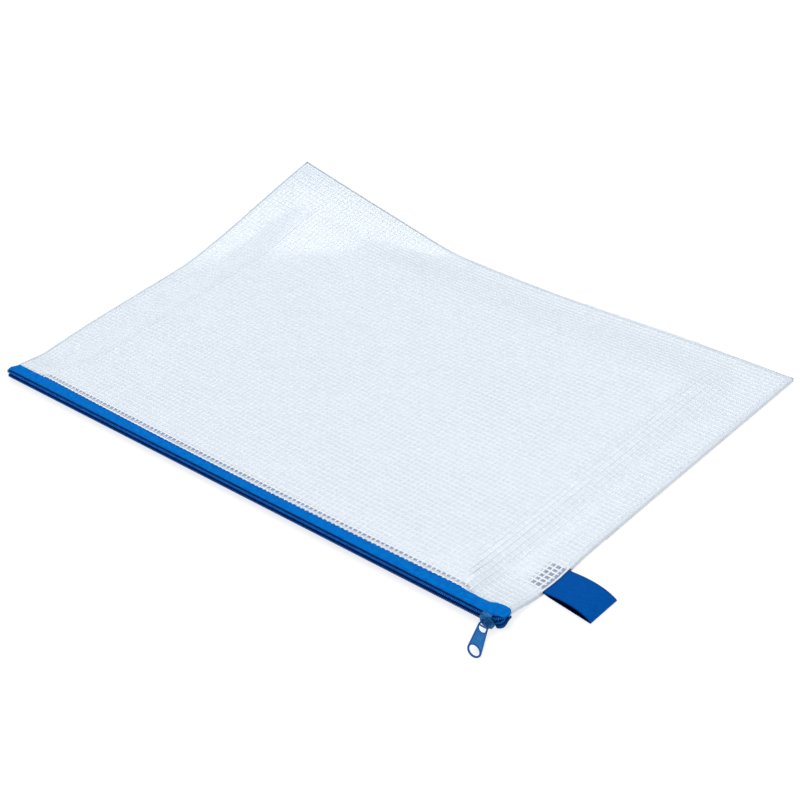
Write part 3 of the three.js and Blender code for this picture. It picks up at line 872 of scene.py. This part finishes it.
sewn_x = HALF - SEAM_SEWN_IN
front_run = lines((SEAM_FRONT, FRONT_STOP, 3))
rear_run = lines((REAR_START, SEAM_BACK, 3))
left_run = lines((SEAM_FRONT, SEAM_BACK, 3))
for name, x, y in (
    ("left_seam_thread", np.full_like(left_run, -sewn_x), left_run),
    ("right_seam_thread_front", np.full_like(front_run, sewn_x), front_run),
    ("right_seam_thread_rear", np.full_like(rear_run, sewn_x), rear_run),
    ("back_seam_thread", along_back, np.full_like(along_back, BACK - SEAM_SEWN_IN)),
):
    stitch_piece(f"{name}_stitches", over_lower(x, y, SEAM_LOW + SEAM_SEWN_UP), SEAM_STITCH,
                 SEWING_LOOK, "white_thread", name)
strap_run = [[sewn_x, y, STRAP_SEWN_Z] for y in (FRONT_STOP + TOUCH, REAR_START - TOUCH)]
stitch_piece("strap_stitches", strap_run, STRAP_STITCH, SEWING_LOOK, "white_thread", "strap_stitching")

mesh_run = lines((-MESH_SEWN_HALF, MESH_SEWN_HALF, 3))
mesh_line = np.full_like(mesh_run, PANEL_FRONT + MESH_SEWN_IN)
row_x, row_y = in_plan(mesh_run, mesh_line)
for word, row_z in (
    ("top", upper_low(mesh_run, mesh_line) + TOP_SEWN_UP),
    ("bottom", np.full_like(mesh_run, BOTTOM_SEWN_Z)),
):
    stitch_piece(f"{word}_mesh_stitches", np.stack([row_x, row_y, row_z], -1), MESH_STITCH,
                 SEWING_LOOK, "white_thread", f"{word}_mesh_stitching")


# The zip
def zip_path(behind, right, step=2.0):
    """A line along the zip, a distance behind its front line, with the way to the back at each point."""
    end, end_radius, end_back = right
    points, inward = [], []

    def put(x, y, way_x, way_y):
        points.append((x + behind * way_x, y + behind * way_y))
        inward.append((way_x, way_y))

    def corner(x, radius, start):
        for angle in start + np.linspace(0, math.pi / 2, 13):
            way = (-math.cos(angle), -math.sin(angle))
            put(x + radius * math.cos(angle), FRONT + radius * (1 + math.sin(angle)), *way)

    for y in np.linspace(LEFT_BACK, 0, 5)[:-1]:
        put(ZIP_LEFT - LEFT_RADIUS, FRONT + LEFT_RADIUS + y, 1, 0)
    corner(ZIP_LEFT, LEFT_RADIUS, math.pi)
    for x in lines((ZIP_LEFT, end, step))[1:-1]:
        put(x, FRONT, 0, 1)
    corner(end, end_radius, -math.pi / 2)
    for y in np.linspace(0, end_back, 5)[1:]:
        put(end + end_radius, FRONT + end_radius + y, -1, 0)
    return np.array(points), np.array(inward)


def tuck(points, side):
    """How far the lower half has rolled over at its right end: 0 up to the slider, 1 beyond it."""
    return ease((points[:, 0] - TUCK_FROM) / TUCK_RUN) * (side < 0)


def tube_along(path, side, wire):
    """A round tube whose section is set against a given side direction at each point."""
    tangent = directions(path)
    across = side - tangent * np.sum(side * tangent, axis=1)[:, None]
    across /= np.linalg.norm(across, axis=1)[:, None]
    angle = 2 * math.pi * np.arange(TUBE_SIDES) / TUBE_SIDES
    return swept(path, across, np.cross(tangent, across), np.cos(angle), np.sin(angle), wire / 2)


def coil_turns(side, right):
    """A filament wound round and round along the zip, squarish in section."""
    centre, inward = zip_path(0, right)
    length = lengths(centre)
    points_per_turn = 12
    count = int(length[-1] / TURN_PITCH * points_per_turn)
    at = np.linspace(TURN_WIRE / 2, length[-1] - TURN_WIRE / 2, count)
    base = read_at(at, length, centre)
    way = read_at(at, length, inward)
    way /= np.linalg.norm(way, axis=1)[:, None]
    phase = 2 * math.pi * at / TURN_PITCH
    cosine, sine = np.cos(phase), np.sin(phase)
    square = (np.abs(cosine) ** 3 + np.abs(sine) ** 3) ** (-1 / 3)
    deep = (COIL_DEEP - TURN_WIRE) / 2
    high = (COIL_HIGH - TURN_WIRE) / 2
    rolled = tuck(base, side)
    behind = COIL_DEEP / 2 - deep * cosine * square + COIL_TUCK_BACK * rolled
    middle = ZIP_Z + side * (PART_HALF + COIL_HIGH / 2)
    z = middle + high * sine * square + COIL_TUCK_UP * rolled
    path = np.column_stack([base + way * behind[:, None], z])
    forward = np.column_stack([way[:, 1], -way[:, 0], np.zeros(len(way))])
    return tube_along(path, forward, TURN_WIRE)


def tape_section(side, reach):
    """Front edge of a tape: a lip that stands beside the coil and turns back into the flat band."""
    turn = np.linspace(0, math.pi / 2, 6)

    def bent(radius):
        back, up = LIP + LIP_BEND, reach - LIP_BEND
        return [(back - radius * math.cos(t), up + radius * math.sin(t)) for t in turn]

    section = [(LIP, LIP_GAP), *bent(LIP_BEND), *bent(LIP_BEND - TAPE)[::-1], (LIP + TAPE, LIP_GAP)]
    return [(behind, side * height) for behind, height in section]


def zip_lip(side, reach, right):
    """The lip swept round both ends of the zip, a little closer to the coil round the left one."""
    section = tape_section(side, reach)
    centre, inward = zip_path(0, right, 4.0)
    rings = np.empty((len(centre), len(section), 3))
    rolled = tuck(centre, side)
    snug = LEFT_SNUG * ease(ZIP_LEFT + LEFT_SNUG - centre[:, 0])
    for k, (behind, height) in enumerate(section):
        rings[:, k, :2] = centre + inward * (behind - LIP_TUCK_OUT * rolled - snug)[:, None]
        rings[:, k, 2] = ZIP_Z + height - LIP_TUCK_DOWN * rolled * (abs(height) < 1)
    return rings.reshape(-1, 3), tube_faces(len(centre), len(section))


def tongue_front(x):
    """Front edge of the upper tape's flat: straight, then rounding back over the coil at the right end."""
    end, radius, _ = UPPER_RIGHT
    past = np.clip(x - end, 0, None)
    reach = radius - mix(LIP + TAPE, -TONGUE_LAP, ease(past / radius))
    hollow = TONGUE_HOLLOW * np.sin(math.pi * clamp01(past / (radius + TONGUE_LAP)))
    return FRONT + radius - np.sqrt(np.maximum(reach**2 - past**2, 0)) + hollow


TONGUE_X = (MESH_CORNER, 161, 165, 168, 172.5, 175.5, 177)
TONGUE_REAR = (-107.3, -107.5, -107.2, -105.8, -105.1, -105.7, -107.2)


def upper_band():
    """The flat of the upper tape: narrow beyond the mesh's corners, with a tongue at the right end."""
    right = UPPER_RIGHT[0] + UPPER_RIGHT[1] + TONGUE_PAST
    x = lines((FLAT_LEFT, FLAT_LEFT + 2, 0.2), (FLAT_LEFT + 2, -150, 1.0), (-150, 150, 5),
              (150, right - 4, 1.0), (right - 4, right, 0.3))
    share = np.linspace(0, 1, 15)[:, None]
    left = x - FLAT_LEFT
    turn = LEFT_RADIUS - LIP + FLAT_ROUND
    cut_in = turn - np.sqrt(np.maximum(turn**2 - np.maximum(turn - left, 0) ** 2, 0))
    front = np.where(x > 0, tongue_front(x), FRONT + LIP + TAPE + cut_in)
    rear = np.where(np.abs(x) > MESH_CORNER, PANEL_FRONT - 0.2, BAND_REAR)
    rear = np.where(x > MESH_CORNER, np.interp(x, TONGUE_X, TONGUE_REAR), rear)
    rear = np.maximum(rear, front + 0.05)
    gx = x + LEFT_SLANT * share * (1 - ease(left / 14))
    gy = front + (rear - front) * share
    ripple = TAPE_RIPPLE * np.sin(gx / 6.3) * np.sin(gx / 17) * np.sin(math.pi * share)
    high = ZIP_Z + UPPER_LIP + ripple
    return slab(gx, gy, high - TAPE, high)


def lower_band():
    """The flat of the lower tape, which lies on the lower panel's front."""
    end, radius, _ = LOWER_RIGHT
    stop = end + radius - 0.5
    x = lines((FLAT_LEFT + TOUCH, -150, 2), (-150, 150, 5), (150, 170, 2), (170, stop, 0.4))
    share = np.linspace(0, 1, 11)[:, None]
    rear = np.where(np.abs(x) > MESH_CORNER, PANEL_FRONT - TOUCH, BAND_REAR)
    past = np.clip(x - end, 0, None)
    behind = LIP + 0.2 - LIP_TUCK_OUT * ease((x - TUCK_FROM) / TUCK_RUN)
    front = FRONT + radius - np.sqrt(np.maximum((radius - behind) ** 2 - past**2, 0))
    gx = np.broadcast_to(x, (len(share), len(x)))
    gy = front + (rear - front) * share
    low = np.full_like(gy, ZIP_Z - LOWER_LIP)
    return slab(gx, gy, low, low + TAPE)


def lifted(made, side):
    """Raises the right end of the lower half, to meet the tongue of the upper half."""
    verts, faces = made
    if side > 0:
        return verts, faces
    lift = END_LIFT * ease((verts[:, 1] - END_LIFT_Y) / 5) * ease((verts[:, 0] - END_LIFT_X) / 3)
    return np.column_stack([verts[:, :2], verts[:, 2] + lift]), faces


def zip_side(word, side, reach, right, band):
    """One half of the zip: its tape, coil, core cord and the row that sews the coil to the tape."""
    cloth = Parts()
    cloth.add(lifted(zip_lip(side, reach, right), side))
    cloth.add(lifted(band, side))
    tape = ride_on(cloth.build(f"{word}_tape", TAPE_LOOK), "pouch", "zip_tape", f"{word}_zip_tape")
    turns = finish_mesh(f"{word}_coil_turns", *lifted(coil_turns(side, right), side), COIL_LOOK)
    ride_on(turns, "pouch", "zip_coil", f"{word}_zip_coil")

    plan, way = zip_path(COIL_DEEP / 2, right)
    rolled = tuck(plan, side)
    middle = side * (PART_HALF + COIL_HIGH / 2)
    line = np.column_stack([plan + way * COIL_TUCK_BACK * rolled[:, None],
                            ZIP_Z + middle + COIL_TUCK_UP * rolled])
    cord = finish_mesh(f"{word}_core_cord", *lifted(tube(line, CORE_CORD, CORE_CORD), side), PAINTED_SHADE_CORD_LOOK)
    ride_on(cord, "pouch", "white_thread", f"{word}_coil_cord")

    plan, way = zip_path(COIL_SEWN_BACK, right)
    plan = plan + way * SEWN_TUCK_BACK * tuck(plan, side)[:, None]
    height = ZIP_Z + side * (PART_HALF + COIL_HIGH + COIL_SEWN_OUT)
    path, _ = lifted((np.column_stack([plan, np.full(len(plan), height)]), None), side)
    stitch_piece(f"{word}_coil_stitches", path, COIL_STITCH, COIL_SEWING_LOOK, "coil_thread",
                 f"{word}_coil_thread")
    return tape


upper_tape = zip_side("upper", 1, UPPER_LIP, UPPER_RIGHT, upper_band())
lower_tape = zip_side("lower", -1, LOWER_LIP, LOWER_RIGHT, lower_band())


# The ribbon loop
def bezier(a, b, c, d, count):
    t = np.linspace(0, 1, count)[:, None]
    a, b, c, d = (np.array(p, float) for p in (a, b, c, d))
    return a * (1 - t) ** 3 + 3 * b * t * (1 - t) ** 2 + 3 * c * t**2 * (1 - t) + d * t**3


def strap_x(share):
    """Where a share of the ribbon's way from the seam to its tip lies."""
    return mix(STRAP_MOUTH, STRAP_TIP, share)


def strap_line():
    """Middle line of the ribbon seen from the side: the lower run, the fold, and the bowed upper run."""
    held = STRAP_MOUTH - 3.8
    fold = STRAP_TIP - 0.6
    low = [(STRAP_ROOT, 0.9), (held, 0.9), (STRAP_MOUTH, 0.88), (strap_x(0.06), 0.6), (strap_x(0.13), 0.33)]
    flat = [(x, 0.31) for x in np.linspace(strap_x(0.18), fold, 40)]
    angles = np.linspace(0.3, math.pi - 0.3, 7)
    turn = [(fold + 0.37 * math.sin(t), 0.68 - 0.37 * math.cos(t)) for t in angles]
    upper = bezier((fold, 1.05), (strap_x(0.8), 4.2), (strap_x(0.45), 3.8), (strap_x(0.1), 1.5), 70)
    root = [(STRAP_MOUTH, 1.32), (held, 1.3), (STRAP_ROOT, 1.3)]
    return np.array(low + flat + turn + [tuple(p) for p in upper] + root)


def ribbon_loop():
    """The ribbon's woven band along its line, with thicker edges and a few ribs at the fold."""
    line = strap_line()
    tangent = directions(line)
    normal = np.stack([-tangent[:, 1], tangent[:, 0]], -1)
    share = np.linspace(-1, 1, 25)
    drift = clamp01((line[:, 0] - STRAP_MOUTH) / (STRAP_TIP - STRAP_MOUTH))
    y = mix(STRAP_ROOT_Y, STRAP_TIP_Y, drift)[:, None] + share * STRAP_SLIM * STRAP_WIDE / 2
    selvedge = SELVEDGE * (np.abs(share) > 0.9)
    near_tip = ease((line[:, 0] - RIB_FROM) / 2) * (line[:, 0] < STRAP_TIP - 0.5)
    ribs = RIB_HIGH * np.sin(line[:, 0] * 2 * math.pi / RIB_PITCH) * near_tip
    half = RIBBON / 2 - RIBBON_ROOM + selvedge[None, :] + ribs[:, None] * 0.5
    x0, z0 = line[:, None, 0], line[:, None, 1]
    over_x, over_z = normal[:, None, 0] * half, normal[:, None, 1] * half
    outer = np.stack([x0 + over_x, y, z0 + over_z], -1)
    inner = np.stack([x0 - over_x, y, z0 - over_z], -1)
    return np.concatenate([outer, inner]).reshape(-1, 3), sheet_faces(*y.shape)


ribbon = ride_on(finish_mesh("ribbon_loop", *ribbon_loop(), RIBBON_LOOK), "pouch", "ribbon", "strap_loop")


# Small castings
def arc(x, y, radius, start, end, count):
    """Points of an arc, in degrees."""
    angles = np.radians(np.linspace(start, end, count))
    return [(x + radius * math.cos(a), y + radius * math.sin(a)) for a in angles]


def plate(outlines, thick, bevel, place=None):
    """Points and faces of a flat plate with holes and rounded edges. place moves it from its own plane."""
    data = bpy.data.curves.new("outline", "CURVE")
    data.dimensions = "2D"
    data.fill_mode = "BOTH"
    data.extrude = thick / 2 - bevel
    data.bevel_depth = bevel
    data.bevel_resolution = 3
    data.offset = -bevel
    for outline in outlines:
        spline = data.splines.new("POLY")
        spline.points.add(len(outline) - 1)
        spline.points.foreach_set("co", [v for x, y in outline for v in (x, y, 0, 1)])
        spline.use_cyclic_u = True
    holder = linked("outline", data)
    mesh = bpy.data.meshes.new_from_object(holder.evaluated_get(bpy.context.evaluated_depsgraph_get()))
    bpy.data.objects.remove(holder)
    bpy.data.curves.remove(data)
    work = bmesh.new()
    work.from_mesh(mesh)
    bmesh.ops.remove_doubles(work, verts=work.verts, dist=1e-4)
    if place is not None:
        work.transform(place)
    verts = np.array([v.co for v in work.verts])
    faces = [np.array([v.index for v in f.verts]) for f in work.faces]
    work.free()
    bpy.data.meshes.remove(mesh)
    return verts, faces


def upright(x, y, z):
    """Stands a plate up in the zip's front face, with its first axis along the zip and its second upwards."""
    return Matrix.Translation((x, y, z)) @ Matrix.Rotation(math.pi / 2, 4, "X")


def rounded(x0, x1, z0, z1, radius):
    """A rectangle with round corners."""
    left, right, low, high = x0 + radius, x1 - radius, z0 + radius, z1 - radius
    corners = ((right, low, -90), (right, high, 0), (left, high, 90), (left, low, 180))
    return [point for x, z, start in corners for point in arc(x, z, radius, start, start + 90, 6)]


def arch(path, wide, tall):
    """A bar along a path in the table's plane, with a soft rectangular section that changes along it."""
    tangent = directions(path)
    out = np.column_stack([tangent[:, 1], -tangent[:, 0], np.zeros(len(path))])
    angle = 2 * math.pi * np.arange(BRIDGE_SIDES) / BRIDGE_SIDES
    cosine, sine = np.cos(angle), np.sin(angle)
    size = (np.abs(cosine) ** BRIDGE_SOFT + np.abs(sine) ** BRIDGE_SOFT) ** (-1 / BRIDGE_SOFT)
    up = np.broadcast_to((0.0, 0.0, 1.0), path.shape)
    return swept(path, out, up, cosine * size * wide[:, None] / 2, sine * size * tall[:, None] / 2)


# The slider
def slider_plate():
    """The front plate's outline from the nose's tip: a blunt nose, sloping cheeks, and a round rear."""
    rear = PLATE_LEFT - NOSE_X + REAR_RADIUS
    cheek = [(-0.55, NOSE_RADIUS), (0.9 - SHOULDER, PLATE_HALF - 0.8), (0.4 - SHOULDER, PLATE_HALF - 0.25),
             (-0.4 - SHOULDER, PLATE_HALF)]
    back = (arc(rear, PLATE_HALF - REAR_RADIUS, REAR_RADIUS, 90, 180, 10)
            + arc(rear, REAR_RADIUS - PLATE_HALF, REAR_RADIUS, 180, 270, 10))
    return arc(-NOSE_RADIUS, 0, NOSE_RADIUS, -60, 60, 7) + cheek + back + [(x, -z) for x, z in cheek[::-1]]


def slider_casting():
    """Front plate with a raised field, the rails beside the coils, the post between them, the back plate."""
    body = Parts()
    middle = (PLATE_BACK + PLATE_FRONT) / 2
    body.add(plate([slider_plate()], 1.0, 0.32, upright(NOSE_X, middle, ZIP_Z)))
    field = [(0.72 * x - 1.45, 0.7 * z) for x, z in slider_plate()]
    body.add(plate([field], 0.5, 0.2, upright(NOSE_X, PLATE_FRONT - 0.02, ZIP_Z)))
    for side in (-1, 1):
        low, high = sorted(ZIP_Z + side * edge for edge in RAIL_EDGES)
        rail = rounded(*RAIL_X, low, high, 0.28)
        body.add(plate([rail], 1.9, 0.2, upright(0, RAIL_Y, 0)))
    post = rounded(*POST_X, ZIP_Z - POST_HALF, ZIP_Z + POST_HALF, 0.15)
    body.add(plate([post], 3.6, 0.05, upright(0, POST_Y, 0)))
    inner = rounded(*INNER_X, ZIP_Z - INNER_HALF, ZIP_Z + INNER_HALF, 1.2)
    body.add(plate([inner], 0.7, 0.2, upright(0, INNER_Y, 0)))
    return body


def bridge_arch():
    """The crown: a squarish arch along the zip, broad at its feet and slimmer where the tab hangs."""
    turn = np.linspace(0, math.pi, 65)
    foot_y = PLATE_FRONT + BRIDGE_FOOT_IN
    x = BRIDGE_X + BRIDGE_HALF * np.sign(np.cos(turn)) * np.sqrt(np.abs(np.cos(turn)))
    y = foot_y - (foot_y - BRIDGE_BAR_Y) * np.sqrt(np.abs(np.sin(turn)))
    path = np.column_stack([x, y, np.full(len(x), ZIP_Z)])
    foot = ease((path[:, 1] - BRIDGE_BAR_Y - 1.6) / 1.3)
    return arch(path, 0.6 + 0.12 * foot, 0.74 + 1.9 * foot)


ride_on(slider_casting().build("slider_casting", SLIDER_LOOK), "slider", "slider_enamel", "slider_body")
ride_on(finish_mesh("slider_crown", *bridge_arch(), SLIDER_LOOK), "slider", "slider_enamel", "slider_bridge")


# The pull tab
def tab_outline(inset):
    spread = math.degrees(math.asin((TAB_END[1] - TAB_ROOT[1]) / (TAB_END[0] - TAB_ROOT[0])))
    return (arc(TAB_END[0], 0, TAB_END[1] - inset, -90 - spread, 90 + spread, 40)
            + arc(TAB_ROOT[0], 0, TAB_ROOT[1] - inset, 90 + spread, 270 - spread, 28))


def tab_eye(outset):
    near, far, radius = TAB_EYE
    return arc(far, 0, radius + outset, -90, 90, 20) + arc(near, 0, radius + outset, 90, 270, 20)


def tab_hole(outset):
    return arc(TAB_END[0], 0, TAB_HOLE + outset, 0, 350, 36)


tab = Parts()
tab.add(plate([tab_outline(TAB_INSET), tab_eye(RIM_LAP), tab_hole(RIM_LAP)], TAB_THICK, 0.05))
rim = Parts()
rim.add(plate([tab_outline(0), tab_outline(RIM_WIDE)], RIM_THICK, 0.17))
rim.add(plate([tab_hole(HOLE_RIM_WIDE), tab_hole(0)], HOLE_RIM_THICK, 0.15))
rim.add(plate([tab_eye(EYE_RIM_WIDE), tab_eye(0)], HOLE_RIM_THICK, 0.13))
yaw, drop, lean = TAB_TURN
tab_place = (Matrix.Translation((BRIDGE_X / 1000, BRIDGE_BAR_Y / 1000, ZIP_Z / 1000))
             @ Matrix.Rotation(yaw, 4, "Z") @ Matrix.Rotation(drop, 4, "Y") @ Matrix.Rotation(lean, 4, "X"))
for name, piece, look, nodes in (
    ("pull_tab_plate", tab, TAB_LOOK, ("pull_tab",)), ("pull_tab_rim", rim, RIM_LOOK, ()),
):
    obj = piece.build(name, look)
    obj.matrix_world = tab_place
    ride_on(obj, "pull", "slider_enamel", *nodes)


# Floor, world, lamps and camera
def seen_plainly(tree):
    """1 where the camera, a reflection or clear film looks, 0 for the light that falls on the object."""
    path = tree.nodes.new("ShaderNodeLightPath")
    seen = path.outputs["Is Camera Ray"]
    for kind in ("Is Glossy Ray", "Is Transmission Ray"):
        either = tree.nodes.new("ShaderNodeMath")
        either.operation = "MAXIMUM"
        tree.links.new(seen, either.inputs[0])
        tree.links.new(path.outputs[kind], either.inputs[1])
        seen = either.outputs[0]
    return seen


def floor(size):
    """A matte white floor, which glows to the camera just enough to read as white."""
    mesh = bpy.data.meshes.new("floor")
    corners = [(-size, -size, 0), (size, -size, 0), (size, size, 0), (-size, size, 0)]
    mesh.from_pydata(corners, [], [(0, 1, 2, 3)])
    look = Look("floor_white", (0.62, 0.62, 0.62), 0.9, Specular_IOR_Level=0.0, Emission_Color=(1, 1, 1, 1))
    seen = seen_plainly(look.tree)
    look.feed(look.times(seen, 0.72), "Emission Strength")
    look.paint(look.blend(seen, (0.85, 0.85, 0.85), (0.34, 0.34, 0.34)))
    mesh.materials.append(look.material)
    linked("floor", mesh)


def world(strength):
    """Soft light from all round, behind which the camera sees plain white."""
    made = bpy.data.worlds.new("studio")
    made.use_nodes = True
    tree = made.node_tree
    tree.nodes.clear()
    out = tree.nodes.new("ShaderNodeOutputWorld")
    both = tree.nodes.new("ShaderNodeMixShader")
    tree.links.new(seen_plainly(tree), both.inputs["Fac"])
    for socket, colour, glow in ((1, (0.97, 0.985, 1, 1), strength), (2, (1, 1, 1, 1), 1)):
        light = tree.nodes.new("ShaderNodeBackground")
        light.inputs["Color"].default_value = colour
        light.inputs["Strength"].default_value = glow
        tree.links.new(light.outputs[0], both.inputs[socket])
    tree.links.new(both.outputs[0], out.inputs["Surface"])
    bpy.context.scene.world = made


def sun(name, towards, energy, angle, colour):
    """A soft lamp shining from a direction."""
    data = bpy.data.lights.new(name, "SUN")
    data.energy = energy
    data.angle = math.radians(angle)
    data.color = colour
    linked(name, data).rotation_euler = Vector(towards).to_track_quat("Z", "Y").to_euler()


CAMERA_ELEVATION = math.radians(34.619)
CAMERA_AZIMUTH = math.radians(46.656)
CAMERA_ROLL = math.radians(-7.26)
CAMERA_DISTANCE = 1025.03
CAMERA_TARGET = (19.92, -9.09, 0)
CAMERA_LENS = 90


def camera():
    az, el, roll = CAMERA_AZIMUTH, CAMERA_ELEVATION, CAMERA_ROLL
    back = Vector((math.sin(az) * math.cos(el), -math.cos(az) * math.cos(el), math.sin(el)))
    level = Vector((math.cos(az), math.sin(az), 0))
    steep = back.cross(level)
    right = math.cos(roll) * level + math.sin(roll) * steep
    up = -math.sin(roll) * level + math.cos(roll) * steep
    data = bpy.data.cameras.new("camera")
    data.lens = CAMERA_LENS
    data.sensor_width = 36
    data.clip_end = 20
    obj = linked("camera", data)
    place = (Vector(CAMERA_TARGET) + back * CAMERA_DISTANCE) / 1000
    obj.matrix_world = Matrix.Translation(place) @ Matrix((right, up, back)).transposed().to_4x4()
    bpy.context.scene.camera = obj


floor(4)
world(0.42)
sun("softbox", (-0.36, 0.30, 0.88), 1.3, 38, (1, 1, 1))
sun("front_fill", (-0.15, -0.80, 0.55), 0.95, 50, (1, 1, 1))
sun("right_fill", (0.86, -0.12, 0.48), 0.75, 50, (1, 1, 1))
camera()
bpy.context.scene.view_settings.view_transform = "Standard"
bpy.context.scene.cycles.transparent_max_bounces = 32
